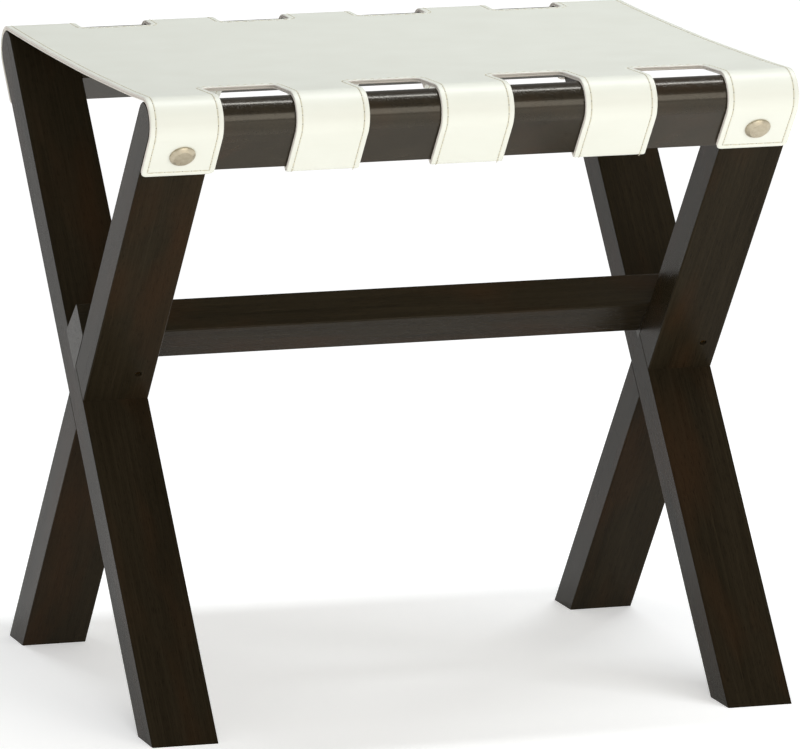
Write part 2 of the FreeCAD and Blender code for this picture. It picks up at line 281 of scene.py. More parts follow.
@dataclass(frozen=True)
class SeatHide:
    """Smooth cream leather with a finished face, and painted shade along the stitch groove of its seams."""

    name: str
    pale: Colour
    deep: Colour
    # seam: colour of the painted shade that darkens the stitch groove
    seam: Colour
    pebble: float = 0.9 * MM
    streak: Colour = (150 * MM, 3 * MM, 1)
    cloud: Colour = (46 * MM, 34 * MM, 1)
    gloss: tuple[float, float] = (0.42, 0.46)
    seam_inset: float = 5 * MM
    groove_shade_width: float = 1.1 * MM
    edge_layer: str = "edge_distance"

    def material(self) -> bpy.types.Material:
        """Make the leather, which reads its flat pattern and its distance from the cut edge, with painted
        groove shade.
        """
        tree = FinishTree(self.name)
        flat = tree.place(Coordinates.FLAT)
        streaks = tree.clouds(tree.stretch(flat, self.streak), detail=4, roughness=0.6)
        clouds = tree.clouds(tree.stretch(flat, self.cloud), detail=3)
        pebbles = tree.add("ShaderNodeTexVoronoi", {
            "Vector": tree.stretch(flat, (self.pebble, self.pebble, 1)), "Scale": 1.0,
            "Smoothness": 0.6, "Randomness": 0.9,
        }, feature="SMOOTH_F1").outputs["Distance"]
        edge = tree.add("ShaderNodeAttribute", {}, attribute_name=self.edge_layer).outputs["Fac"]
        from_seam = tree.add("ShaderNodeMath", {0: edge, 1: self.seam_inset},
                             operation="SUBTRACT").outputs[0]
        distance = tree.add("ShaderNodeMath", {0: from_seam}, operation="ABSOLUTE").outputs[0]
        # Painted shade: the colour darkens towards the seam colour, most on the stitch line
        painted_groove_shade = tree.band(distance, self.groove_shade_width, 0, 0, 0.3)
        tone = tree.band(tree.sum(clouds, streaks, 0.3), 0.1, 1.2)
        return tree.finish(
            Base_Color=tree.blend(painted_groove_shade, tree.blend(tone, self.deep, self.pale), self.seam),
            Roughness=tree.band(clouds, 0.3, 0.7, *self.gloss),
            Specular_IOR_Level=0.5,
            Normal=tree.relief(streaks, 0.05 * MM, 0.15, tree.relief(pebbles, 0.025 * MM, 0.6)),
        )


@dataclass(frozen=True)
class CutEdge:
    """Raw cut edge of leather, with its fibres."""

    pale: Colour = stain(246, 240, 232)
    deep: Colour = stain(228, 218, 207)
    fibre: float = 0.35 * MM

    def material(self) -> bpy.types.Material:
        """Make the cut edge."""
        tree = FinishTree("leather_cut_edge")
        size = (self.fibre, self.fibre, self.fibre)
        fibres = tree.clouds(tree.stretch(tree.place(Coordinates.OBJECT), size), detail=3)
        return tree.finish(
            Base_Color=tree.blend(tree.band(fibres, 0.3, 0.7), self.deep, self.pale),
            Roughness=tree.band(fibres, 0.3, 0.7, 0.85, 0.65),
            Normal=tree.relief(fibres, 0.12 * MM),
        )


@dataclass(frozen=True)
class WaxedThread:
    """Twisted thread, with plies that cross each stitch at a slant."""

    name: str = "waxed_thread"
    pale: Colour = stain(230, 226, 208)
    deep: Colour = stain(200, 194, 172)
    ply: Colour = (0.5, 0.12, 1)

    def material(self) -> bpy.types.Material:
        """Make the thread."""
        tree = FinishTree(self.name)
        plies = tree.add("ShaderNodeTexWave", {
            "Vector": tree.stretch(tree.place(Coordinates.FLAT), self.ply),
            "Scale": 0.5, "Distortion": 0.6,
        }, bands_direction="DIAGONAL").outputs["Fac"]
        return tree.finish(
            Base_Color=tree.blend(plies, self.deep, self.pale),
            Roughness=tree.band(plies, 0, 1, 0.75, 0.5),
            Normal=tree.relief(plies, 0.1 * MM),
        )


@dataclass(frozen=True)
class BrushedMetal:
    """Metal with fine brush lines and soft stains."""

    name: str
    bright: Colour
    dull: Colour
    brush: Colour
    source: Coordinates = Coordinates.OBJECT
    gloss: tuple[float, float] = (0.24, 0.42)

    def material(self) -> bpy.types.Material:
        """Make the metal."""
        tree = FinishTree(self.name)
        flat = tree.place(self.source)
        lines = tree.clouds(tree.stretch(flat, self.brush), detail=3, roughness=0.6)
        stains = tree.clouds(tree.stretch(flat, (4 * MM, 4 * MM, 4 * MM)), detail=2)
        wear = tree.sum(stains, lines, 0.5)
        return tree.finish(
            Base_Color=tree.blend(tree.band(wear, 0.5, 1), self.dull, self.bright),
            Metallic=1.0,
            Roughness=tree.band(wear, 0.5, 1, *self.gloss),
            Normal=tree.relief(lines, 0.02 * MM),
        )


@dataclass(frozen=True)
class PaleFloor:
    """Matt white studio floor with the faintest unevenness."""

    pale: Colour = stain(247, 247, 246)
    deep: Colour = stain(243, 243, 242)
    near: float = 0.5
    far: float = 4.0
    glow: tuple[float, float] = (0.42, 0.80)

    def material(self) -> bpy.types.Material:
        """Make the floor's paint, which glows more away from the rack, where less light falls."""
        tree = FinishTree("studio_floor")
        place = tree.place(Coordinates.OBJECT)
        clouds = tree.clouds(place, detail=2)
        away = tree.add("ShaderNodeVectorMath", {0: place}, operation="LENGTH").outputs["Value"]
        return tree.finish(
            Base_Color=tree.blend(clouds, self.deep, self.pale),
            Roughness=0.9,
            Specular_IOR_Level=0.1,
            Emission_Color=(1, 1, 1, 1),
            Emission_Strength=tree.band(away, self.near, self.far, *self.glow),
        )


# ---- the line that the leather follows ------------------------------------------------------
@dataclass(frozen=True)
class RackFrame:
    """Places on the wooden frame that the seat and its studs are fitted to."""

    leg_tilt: float = math.radians(40)
    cross_height: float = 0.267
    leg_reach: float = 0.365
    half_thick: float = 0.019
    rail_bottom: float = 0.321
    seat_sag: float = 0.0035

    def along(self, rail: Rail) -> Vector:
        """Direction up a leg, towards its rail."""
        return Vector((0, rail.value * math.sin(self.leg_tilt), math.cos(self.leg_tilt)))

    def out(self, rail: Rail) -> Vector:
        """Direction out of a leg's outer, downward face."""
        return Vector((0, rail.value * math.cos(self.leg_tilt), -math.sin(self.leg_tilt)))

    def place(self, rail: Rail, along: float, out: float, x: float = 0) -> Vector:
        """Point at a distance up a leg from the crossing, and out from its middle plane."""
        return Vector((x, 0, self.cross_height)) + self.along(rail) * along + self.out(rail) * out


@dataclass
class SeatCurve:
    """Line of the leather from the seat's middle over a rail and round under it.

    A run is the length along the leather from the seat's middle, below zero towards the front.
    A height is the distance from the wood. Lengths are measured at the neutral height.
    """

    rack: RackFrame
    neutral: float = 3 * MM
    tab_return: float = 30 * MM
    ends: list[float] = field(init=False)

    def __post_init__(self) -> None:
        """Work out the hanging arc, and where each stretch of the line ends."""
        rack = self.rack
        top = rack.place(Rail.BACK, rack.leg_reach, 0)
        self.top = top
        rise = (top.y ** 2 - rack.seat_sag ** 2) / (2 * rack.seat_sag)
        self.lean = math.atan2(top.y, rise)
        self.hang_radius = rise - rack.half_thick + rack.seat_sag
        self.hang_centre = Vector((0, 0, top.z + rise))
        stretches = (
            self.lean * (self.hang_radius - self.neutral),
            (math.pi / 2 + rack.leg_tilt + self.lean) * (rack.half_thick + self.neutral),
            rack.leg_reach - rack.rail_bottom,
            math.pi / 2 * self.neutral,
            self.tab_return,
        )
        self.ends = [sum(stretches[:count + 1]) for count in range(len(stretches))]

    def run_at(self, y: float) -> float:
        """Run of the hanging leather at a distance from the seat's middle."""
        radius = self.hang_radius - self.neutral
        return radius * math.asin(y / radius)

    def spot(self, run: float, height: float) -> tuple[Vector, Vector]:
        """Point beside the line, and the direction away from the wood there.

        Args:
            run: the point's run.
            height: the point's height.

        Returns:
            The point and the direction, both at X 0.
        """
        rack = self.rack
        length = abs(run)
        hang_end, crown_end, drop_end, fold_end = self.ends[:4]
        if length <= hang_end:
            angle = length / (self.hang_radius - self.neutral)
            away = Vector((0, -math.sin(angle), math.cos(angle)))
            point = self.hang_centre - away * (self.hang_radius - height)
        elif length <= crown_end:
            angle = math.pi / 2 + self.lean - (length - hang_end) / (rack.half_thick + self.neutral)
            away = Vector((0, math.cos(angle), math.sin(angle)))
            point = self.top + away * (rack.half_thick + height)
        elif length <= drop_end:
            away = rack.out(Rail.BACK)
            point = rack.place(Rail.BACK, rack.leg_reach - (length - crown_end), rack.half_thick + height)
        else:
            turn = min((length - drop_end) / self.neutral, math.pi / 2)
            away = rack.out(Rail.BACK) * math.cos(turn) - rack.along(Rail.BACK) * math.sin(turn)
            under = max(length - fold_end, 0)
            point = rack.place(Rail.BACK, rack.rail_bottom, rack.half_thick - under) + away * height
        if run < 0:
            point, away = (Vector((0, -vector.y, vector.z)) for vector in (point, away))
        return point, away


# ---- the flat pattern of the seat -----------------------------------------------------------
def past_corner(across: float, beyond: float) -> float:
    """Distance out from a round corner's hub, or from the straight edges beside it."""
    return math.hypot(across, beyond) if min(across, beyond) > 0 else max(across, beyond)


@dataclass
class SeatPattern:
    """Flat cut of the leather: a panel with five tabs at each end and slots between them.

    Its two directions are X and the run along the leather, both zero at the seat's middle.
    """

    curve: SeatCurve
    half_width: float
    tab_count: int = 5
    front_slot_y: float = 185 * MM
    back_slot_y: float = 210 * MM
    slot_round: float = 6 * MM
    tab_round: float = 5 * MM
    seam_inset: float = 5 * MM
    fade: float = 9 * MM
    edge_steps: tuple[float, ...] = (1.3, 2.6, 3.7, 4.4, 5, 5.6, 6.3, 7.6, 10, 14, 20, 26)
    slot_steps: tuple[float, ...] = (1, 2, 3, 4, 5, 6, 7.5, 10, 14, 19, 26)
    hang_step: float = 7 * MM
    crown_step: float = 2.2 * MM

    def __post_init__(self) -> None:
        """Work out the tabs' width and the runs where slots start and tabs end."""
        self.tab_width = 2 * self.half_width / (2 * self.tab_count - 1)
        self.slot_starts = (self.curve.run_at(self.front_slot_y), self.curve.run_at(self.back_slot_y))
        self.corner_end = self.curve.ends[2]
        self.middle_end = self.curve.ends[4]

    def slot_start(self, run: float) -> float:
        """Length from the seat's middle to the slots, at the end of the seat that a run is in."""
        return self.slot_starts[run > 0]

    def tab_centre(self, index: int) -> float:
        """X of the middle of a tab, counted from the left."""
        return -self.half_width + (2 * index + 0.5) * self.tab_width

    def slot_centre(self, index: int) -> float:
        """X of the middle of a slot, counted from the left."""
        return self.tab_centre(index) + self.tab_width

    def area(self) -> float:
        """Flat area of the cut."""
        total = 0.0
        for slot in self.slot_starts:
            tabs = 2 * (self.corner_end - slot) + (self.tab_count - 2) * (self.middle_end - slot)
            total += 2 * self.half_width * slot + self.tab_width * tabs
        return total

    def columns(self) -> list[float]:
        """X of every line of the mesh that runs along the leather, closest beside the seams."""
        lines = []
        for index in range(self.tab_count):
            centre = self.tab_centre(index)
            reach = self.tab_width / 2
            for sign in (-1, 1):
                edge = centre + sign * reach
                lines += [edge, *(edge - sign * step * MM for step in self.edge_steps)]
                if abs(edge) < self.half_width - self.tab_width / 2:
                    lines += [edge + sign * step * MM for step in self.slot_steps]
            lines.append(centre)
        lines += [self.slot_centre(index) for index in range(self.tab_count - 1)]
        return lines

    def rows(self) -> list[float]:
        """Run of every line of the mesh that crosses the leather, closest where it bends."""
        hang_end, crown_end, drop_end, fold_end, end = self.curve.ends
        rows = []
        for sign, slot in zip((-1, 1), self.slot_starts):
            lines = [slot, drop_end, end, *(slot + step * MM for step in self.slot_steps[:8])]
            for edge in (slot, drop_end):
                lines += [edge - step * MM for step in self.edge_steps[:9]]
            spans = (
                (0, slot - self.edge_steps[8] * MM, self.hang_step),
                (slot + self.slot_steps[7] * MM, hang_end, self.hang_step),
                (hang_end, crown_end, self.crown_step),
                (crown_end, drop_end - self.edge_steps[8] * MM, self.hang_step),
                (drop_end, fold_end, self.crown_step / 2),
                (fold_end, end, self.hang_step),
            )
            for low, high, step in spans:
                count = math.ceil((high - low) / step)
                lines += [low + (high - low) * part / count for part in range(count)]
            rows += [sign * line for line in lines]
        return rows

    def is_leather(self, x: float, run: float) -> bool:
        """Whether a place in the flat pattern is leather and not slot or waste.

        Args:
            x: the place's X.
            run: the place's run.

        Returns:
            True on the leather.
        """
        strip = int((x + self.half_width) / self.tab_width)
        length = abs(run)
        if length < self.slot_start(run):
            return True
        if strip % 2:
            return False
        return length < self.corner_end or 0 < strip < 2 * self.tab_count - 2

    def rounded(self, x: float, run: float) -> Spot:
        """Move a place so that the corners of the cut are round.

        Args:
            x: the place's X.
            run: the place's run.

        Returns:
            The moved X and run.
        """
        length = abs(run)
        far = math.copysign(1, run)
        for index in range(self.tab_count - 1):
            hub_x = self.tab_width / 2 - self.slot_round
            hub_run = self.slot_start(run) + self.slot_round
            aside = x - self.slot_centre(index)
            across = abs(aside) - hub_x
            back = hub_run - length
            reach = max(across, back)
            if min(across, back) > 0 and reach < self.slot_round + self.fade:
                share = min(1, 1 - (reach - self.slot_round) / self.fade)
                pull = 1 - share + share * reach / math.hypot(across, back)
                new_x = self.slot_centre(index) + math.copysign(hub_x + across * pull, aside)
                return new_x, far * (hub_run - back * pull)
        for index in (0, self.tab_count - 1):
            hub_x = self.tab_width / 2 - self.tab_round
            hub_run = self.corner_end - self.tab_round
            aside = x - self.tab_centre(index)
            across = abs(aside) - hub_x
            beyond = length - hub_run
            if min(across, beyond) > 0 and across <= self.tab_round + MM:
                pull = max(across, beyond) / math.hypot(across, beyond)
                new_x = self.tab_centre(index) + math.copysign(hub_x + across * pull, aside)
                return new_x, far * (hub_run + beyond * pull)
        return x, run

    def inset(self, x: float, run: float) -> float:
        """Distance in from the cut edge.

        Args:
            x: a place's X.
            run: the place's run.

        Returns:
            The distance.
        """
        length = abs(run)
        nearest = min(self.half_width - abs(x), self.middle_end - length)
        for index in range(self.tab_count - 1):
            across = abs(x - self.slot_centre(index)) - self.tab_width / 2 + self.slot_round
            back = self.slot_start(run) + self.slot_round - length
            nearest = min(nearest, past_corner(across, back) - self.slot_round)
        if length > self.slot_start(run) and abs(x) > self.half_width - self.tab_width:
            half_tab = self.tab_width / 2
            across = abs(abs(x) - self.half_width + half_tab) - half_tab + self.tab_round
            beyond = length - self.corner_end + self.tab_round
            nearest = min(nearest, self.tab_round - past_corner(across, beyond))
        return nearest

    def seams(self) -> Iterator["Seam"]:
        """Every line of stitches, as a walk over the flat pattern."""
        inset = self.seam_inset
        for far in (-1, 1):
            for index in range(self.tab_count - 1):
                ends = [self.corner_end - inset if tab in (0, self.tab_count - 1) else self.middle_end
                        for tab in (index, index + 1)]
                start_x = self.slot_centre(index) - self.tab_width / 2 - inset
                hub = self.slot_start(far) + self.slot_round
                bend = self.slot_round + inset
                seam = Seam((start_x, ends[0]), -math.pi / 2, far)
                seam.straight(ends[0] - hub)
                seam.bend(bend)
                seam.straight(self.tab_width - 2 * self.slot_round)
                seam.bend(bend)
                seam.straight(ends[1] - hub)
                yield seam
            for index in (0, self.tab_count - 1):
                start_x = self.tab_centre(index) - self.tab_width / 2 + inset
                seam = Seam((start_x, self.corner_end - inset), 0, far)
                seam.straight(self.tab_width - 2 * inset)
                yield seam
        for side in Side:
            start = (side.value * (self.half_width - inset), inset - self.corner_end)
            seam = Seam(start, math.pi / 2, 1)
            seam.straight(2 * (self.corner_end - inset))
            yield seam


class Seam:
    """A walk over the flat pattern, in straight stretches and quarter turns to the left."""

    def __init__(self, start: Spot, heading: float, far: int) -> None:
        """Start a walk.

        Args:
            start: X and run of the first stitch's hole.
            heading: the walk's direction, counted from X towards a growing run.
            far: 1 to walk as given, or -1 for the walk's mirror image at the front.
        """
        self.tip = Vector(start)
        self.heading = heading
        self.far = far
        self.parts: list[tuple[float, Callable[[float], tuple[Vector, float]]]] = []

    def straight(self, length: float) -> None:
        """Walk straight on.

        Args:
            length: how far.
        """
        start, heading = self.tip.copy(), self.heading
        ahead = Vector((math.cos(heading), math.sin(heading)))
        self.parts.append((length, lambda gone: (start + ahead * gone, heading)))
        self.tip = start + ahead * length

    def bend(self, radius: float) -> None:
        """Walk a quarter turn to the left.

        Args:
            radius: the turn's radius.
        """
        heading = self.heading
        hub = self.tip + Vector((-math.sin(heading), math.cos(heading))) * radius

        def walk(gone: float) -> tuple[Vector, float]:
            """Place and direction after a part of the turn."""
            turned = heading + gone / radius
            return hub + Vector((math.sin(turned), -math.cos(turned))) * radius, turned

        length = radius * math.pi / 2
        self.parts.append((length, walk))
        self.tip, self.heading = walk(length)

    def stitches(self, pitch: float) -> Iterator[tuple[float, float, float, float]]:
        """Middle of every stitch.

        Args:
            pitch: wanted length from one hole to the next.

        Yields:
            X, run, direction and real pitch.
        """
        total = sum(length for length, _ in self.parts)
        count = round(total / pitch)
        step = total / count
        for index in range(count):
            gone = (index + 0.5) * step
            for length, walk in self.parts:
                if gone <= length:
                    break
                gone -= length
            spot, heading = walk(gone)
            yield spot.x, self.far * spot.y, self.far * heading, step


# ---- the seat -------------------------------------------------------------------------------
@dataclass
class SewnSeat:
    """Two layers of leather sewn together, and the thread that holds them."""

    pattern: SeatPattern
    lining_heights: Spot = (0.2 * MM, 1.9 * MM)
    face_heights: Spot = (2.0 * MM, 4.0 * MM)
    rim_soft: float = 0.45 * MM
    groove_depth: float = 0.32 * MM
    groove_width: float = 0.8 * MM
    welt: float = 0.16 * MM
    edge_fall: float = 0.22 * MM
    edge_reach: float = 0.9 * MM
    wave: float = 0.45 * MM
    wave_length: float = 130 * MM
    sharp: float = 1.0
    pitch: float = 7.6 * MM
    slant: float = 2.5
    strand_rise: float = 0.42
    strand_dip: float = 0.75
    stitch_share: float = 0.86
    thread_width: float = 1.0 * MM
    thread_height: float = 0.75 * MM
    # Size of the dark pad of painted shade that stands for each needle hole.
    hole_shade_radius: float = 0.62 * MM
    hole_shade_depth: float = 0.16 * MM
    edge_layer: str = "edge_distance"
    flat_layer: str = "flat_pattern"

    def lift(self, x: float, run: float) -> float:
        """How far both layers rise from their true line, in slow waves.

        Args:
            x: a place's X.
            run: the place's run.

        Returns:
            The rise, which is nothing on the wood.
        """
        hang_end = self.pattern.curve.ends[0]
        free = min(1, max(0, (hang_end - abs(run)) / (50 * MM)))
        slow = noise.noise(Vector((x, run, 0)) / self.wave_length)
        return self.wave * slow * free * free * (3 - 2 * free)

    def point(self, x: float, run: float, height: float) -> Vector:
        """Place of a point of the bent seat, from its X, run and height above the wood."""
        spot, _ = self.pattern.curve.spot(run, height + self.lift(x, run))
        return Vector((x, spot.y, spot.z))

    def cut_sheet(self) -> bmesh.types.BMesh:
        """Flat sheet with its slots cut out and its corners round."""
        pattern = self.pattern
        columns, rows = sorted(set(pattern.columns())), sorted(set(pattern.rows()))
        sheet = bmesh.new()
        spans = (len(columns) - 1, len(rows) - 1)
        bmesh.ops.create_grid(sheet, x_segments=spans[0], y_segments=spans[1], size=1)
        for vert in sheet.verts:
            x, run = (round((part + 1) / 2 * count) for part, count in zip(vert.co.xy, spans))
            vert.co.xy = columns[x], rows[run]
        waste = [face for face in sheet.faces if not pattern.is_leather(*face.calc_center_median().xy)]
        bmesh.ops.delete(sheet, geom=waste, context="FACES")
        for vert in sheet.verts:
            vert.co.xy = pattern.rounded(*vert.co.xy)
        return sheet

    def relief(self, inset: float) -> float:
        """Shape of a layer's outer skin beside its cut edge: groove, welt and fall.

        Args:
            inset: distance in from the cut edge.

        Returns:
            The height that the skin gains.
        """
        seam = self.pattern.seam_inset
        groove = self.groove_depth * math.exp(-((inset - seam) / self.groove_width) ** 2)
        swell = self.welt * math.sin(math.pi * min(1, max(0, inset / seam)))
        fall = self.edge_fall * math.exp(-max(0, inset) / self.edge_reach)
        return swell - groove - fall

    def layer(self, name: str, heights: Spot, skin: int) -> bpy.types.Object:
        """Make one layer of leather.

        Args:
            name: the piece's name.
            heights: its lower and upper height above the wood.
            skin: 1 if its upper side shows, and -1 for its lower side.

        Returns:
            The piece.
        """
        low, high = heights
        sheet = self.cut_sheet()
        bmesh.ops.recalc_face_normals(sheet, faces=sheet.faces)
        bmesh.ops.solidify(sheet, geom=list(sheet.faces), thickness=high - low)
        floor = min(vert.co.z for vert in sheet.verts)
        bmesh.ops.translate(sheet, vec=(0, 0, -floor), verts=sheet.verts)
        bmesh.ops.recalc_face_normals(sheet, faces=sheet.faces)
        rim = [edge for edge in sheet.edges if edge.calc_face_angle(0) > self.sharp]
        bmesh.ops.bevel(sheet, geom=rim, offset=self.rim_soft, offset_type="OFFSET", segments=2,
                        profile=0.5, affect="EDGES", material=-1, clamp_overlap=True)
        edge_layer = sheet.verts.layers.float.new(self.edge_layer)
        flat = sheet.loops.layers.uv.new(self.flat_layer)
        for face in sheet.faces:
            face.smooth = True
            face.material_index = int(abs(face.normal.z) < 0.5)
            for loop in face.loops:
                loop[flat].uv = loop.vert.co.xy
        middle = (high - low) / 2
        for vert in sheet.verts:
            x, run, height = vert.co
            inset = self.pattern.inset(x, run)
            vert[edge_layer] = inset
            if (height - middle) * skin > 0:
                height += skin * self.relief(inset)
            vert.co = self.point(x, run, low + height)
        bmesh.ops.recalc_face_normals(sheet, faces=sheet.faces)
        return piece(name, sheet)

    def stitching(self, name: str) -> bpy.types.Object:
        """Make the thread: a row of stitches along every seam, each with a dark pad of painted shade for its
        needle hole.

        Args:
            name: the piece's name.

        Returns:
            The piece.
        """
        thread = bmesh.new()
        wobble = random.Random(7)
        strand, hole = self.strand_shape(), self.hole_shade_shape()
        top = self.face_heights[1] - self.groove_depth
        bottom = self.lining_heights[0] + self.groove_depth
        hanging = self.pattern.curve.ends[0] - self.pattern.tab_round
        for seam in self.pattern.seams():
            for x, run, heading, step in seam.stitches(self.pitch):
                slant = heading + math.radians(wobble.uniform(-self.slant, self.slant))
                ahead = Vector((math.cos(heading), math.sin(heading))) * step / 2
                sides = ((top, 1), (bottom, -1)) if abs(run) < hanging else ((top, 1),)
                for height, up in sides:
                    self.lay(thread, strand, (x, run), slant, height, up)
                    # A dark pad of painted shade where the needle hole is.
                    self.lay(thread, hole, (x + ahead.x, run + ahead.y), slant, height, up)
        return piece(name, thread)

    def strand_shape(self) -> bpy.types.Mesh:
        """One stitch along Z, blunt and bent down at its ends, with Y away from the leather."""
        shape = pellet((self.thread_width / 2, self.thread_height / 2, self.thread_width / 2), 6)
        half = self.pitch * self.stitch_share / 2
        for vert in shape.verts:
            end = math.copysign(1, vert.co.z) if abs(vert.co.z) > 1e-6 else 0
            vert.co.z += end * (half - self.thread_width / 2)
            vert.co.y += self.thread_height * (self.strand_rise - self.strand_dip * (vert.co.z / half) ** 4)
        return small_mesh("strand", shape, 0)

    def hole_shade_shape(self) -> bpy.types.Mesh:
        """Painted shade of one needle hole: a low dark pad, with Y away from the leather."""
        return small_mesh("needle_hole_shade", pellet((self.hole_shade_radius, self.hole_shade_depth, self.hole_shade_radius), 4), 1)

    def lay(self, thread: bmesh.types.BMesh, shape: bpy.types.Mesh, spot: Spot, heading: float,
            height: float, up: int) -> None:
        """Add one small shape to the seam.

        Args:
            thread: the mesh that it joins.
            shape: the small shape.
            spot: X and run of its middle.
            heading: its direction in the flat pattern.
            height: height of the leather under it.
            up: 1 on the upper side of the seat, and -1 below.
        """
        ahead = Vector((math.cos(heading), math.sin(heading))) * MM
        middle = self.point(*spot, height)
        along = (self.point(spot[0] + ahead.x, spot[1] + ahead.y, height) - middle).normalized()
        away = self.pattern.curve.spot(spot[1], height)[1] * up
        across = away.cross(along).normalized()
        turn = Matrix((across, along.cross(across), along)).transposed()
        place = Matrix.Translation(middle) @ turn.to_4x4()
        shape.transform(place)
        thread.from_mesh(shape)
        shape.transform(place.inverted())

    def build(self) -> list[bpy.types.Object]:
        """Returns:
            The three pieces.
        """
        # The last colour of each hide is the painted shade of its stitch groove.
        hide = SeatHide("cream_hide", stain(228, 229, 218), stain(221, 221, 208), stain(198, 193, 172))
        suede = SeatHide("lining_hide", stain(226, 222, 208), stain(206, 201, 184),
                         stain(170, 164, 140), gloss=(0.62, 0.80))
        edge = CutEdge().material()
        face = self.layer("sewn_leather_face", self.face_heights, 1)
        lining = self.layer("sewn_leather_lining", self.lining_heights, -1)
        thread = self.stitching("seat_thread_stitches")
        # Darker thread colours for the needle holes' painted shade.
        hole_shade_finish = WaxedThread("needle_hole_shade", stain(152, 144, 122), stain(112, 104, 84))
        dress(face, "seat_leather_face", "seat_leather", hide.material(), edge)
        dress(lining, "seat_leather_lining", "lining_leather", suede.material(), edge)
        dress(thread, "seat_stitching", "seat_thread", WaxedThread().material(), hole_shade_finish.material())
        area = self.pattern.area()
        return [face, lining, thread]


# ---- studs ----------------------------------------------------------------------------------
@dataclass
class CornerStud:
    """Large flat-topped stud with a bevelled rim, through a corner tab into the leg."""

    rack: RackFrame
    pattern: SeatPattern
    rail: Rail
    side: Side
    radius: float = 11.5 * MM
    height: float = 4.2 * MM
    rim: float = 1.5 * MM
    bevel: float = 3.2 * MM
    dome: float = 0.12 * MM
    soft: float = 0.35 * MM
    crease: float = 0.3
    turns: int = 72
    shank_radius: float = 2.5 * MM
    shank_length: float = 28 * MM
    up_from_end: float = 26 * MM
    leather: float = 4.0 * MM

    def build(self, metal: bpy.types.Material) -> bpy.types.Object:
        """Turn the stud from its outline and set it in its tab.

        Args:
            metal: the stud's finish.

        Returns:
            The piece.
        """
        depth = self.leather + self.shank_length
        outline = (
            (0, self.height + self.dome),
            (self.radius - self.bevel, self.height),
            (self.radius, self.rim),
            (self.radius, 0),
            (self.shank_radius, 0),
            (self.shank_radius, -depth),
            (0, -depth),
        )
        stud = bmesh.new()
        verts = [stud.verts.new((across, 0, up)) for across, up in outline]
        edges = [stud.edges.new(pair) for pair in zip(verts, verts[1:])]
        bmesh.ops.spin(stud, geom=verts + edges, cent=(0, 0, 0), axis=(0, 0, 1),
                       angle=math.tau, steps=self.turns, use_merge=True)
        bmesh.ops.remove_doubles(stud, verts=stud.verts, dist=1e-6)
        bmesh.ops.recalc_face_normals(stud, faces=stud.faces)
        rings = [edge for edge in stud.edges if edge.calc_face_angle(0) > self.crease]
        bmesh.ops.bevel(stud, geom=rings, offset=self.soft, offset_type="OFFSET", segments=3,
                        profile=0.5, affect="EDGES", material=-1, clamp_overlap=True)
        flat = stud.loops.layers.uv.new("flat_top")
        for face in stud.faces:
            face.smooth = True
            for loop in face.loops:
                loop[flat].uv = loop.vert.co.xy
        x = self.pattern.tab_centre(0 if self.side is Side.LEFT else self.pattern.tab_count - 1)
        along = self.rack.rail_bottom + self.up_from_end
        seat = self.rack.place(self.rail, along, self.rack.half_thick + self.leather, x)
        out = self.rack.out(self.rail)
        up = self.rack.along(self.rail)
        turn = Matrix((up.cross(out), up, out)).transposed().to_4x4()
        bmesh.ops.transform(stud, matrix=Matrix.Translation(seat) @ turn, verts=stud.verts)
        end = f"{self.rail.name}_{self.side.name}".lower()
        made = piece("bevelled_stud_" + end, stud)
        dress(made, "corner_stud_" + end, "stud_metal", metal)
        return made


# ---- wood and small hardware ----------------------------------------------------------------
@dataclass
class StainedMembers:
    """The legs, rails and stretcher of the frame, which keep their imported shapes."""

    rack: RackFrame
    leg_stain: EspressoStain = EspressoStain()
    rail_stain: EspressoStain = EspressoStain(gloss=(0.20, 0.14), shine=0.42)
    bar_stain: EspressoStain = EspressoStain(shine=0.08)
    shift: float = 0.37

    def build(self) -> list[bpy.types.Object]:
        """Give every member its own piece of grain, laid along it.

        Returns:
            The members.
        """
        members = {"stretcher_bar": ((0, math.pi / 2, 0), self.bar_stain)}
        for rail in Rail:
            name = rail.name.lower()
            lean = -rail.value * self.rack.leg_tilt
            members[name + "_top_rail"] = ((lean, math.pi / 2, 0), self.rail_stain)
            for side in Side:
                members[f"{name}_rail_leg_{side.name.lower()}"] = ((lean, 0, 0), self.leg_stain)
        made = []
        for count, (name, (turn, finish)) in enumerate(members.items()):
            centre = (count * self.shift, -count * self.shift, 2 * count * self.shift)
            made.append(refinish(name, finish.material(name, turn, centre)))
        return made


@dataclass
class SmallHardware:
    """Screws, washers and dowels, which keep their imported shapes."""

    brass: BrushedMetal = BrushedMetal("aged_brass", stain(206, 170, 104), stain(140, 104, 56),
                                       (0.3 * MM, 2 * MM, 0.3 * MM))
    zinc: BrushedMetal = BrushedMetal("zinc_plate", stain(196, 198, 200), stain(150, 152, 154),
                                      (2 * MM, 0.3 * MM, 0.3 * MM))
    dowel: DowelWood = DowelWood()

    def build(self) -> list[bpy.types.Object]:
        """Dress the screws, washers and dowels.

        Returns:
            The pieces.
        """
        finishes = {"stretcher_screw": self.brass.material(), "tab_screws": self.zinc.material()}
        finishes["tab_washers"] = finishes["tab_screws"]
        finishes["dowel"] = self.dowel.material()
        made = []
        for name in sorted(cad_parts):
            for word, material in finishes.items():
                if word in name:
                    made.append(refinish(name, material))
        return made


# ---- pieces ---------------------------------------------------------------------------------
def pellet(radii: Colour, rings: int) -> bmesh.types.BMesh:
    """Small ellipsoid with its own flat coordinates.

    Args:
        radii: its radii along X, Y and Z.
        rings: number of bands from pole to pole.

    Returns:
        The shape.
    """
    shape = bmesh.new()
    bmesh.ops.create_uvsphere(shape, u_segments=8, v_segments=rings, radius=1,
                              matrix=Matrix.Diagonal((*radii, 1)), calc_uvs=True)
    return shape


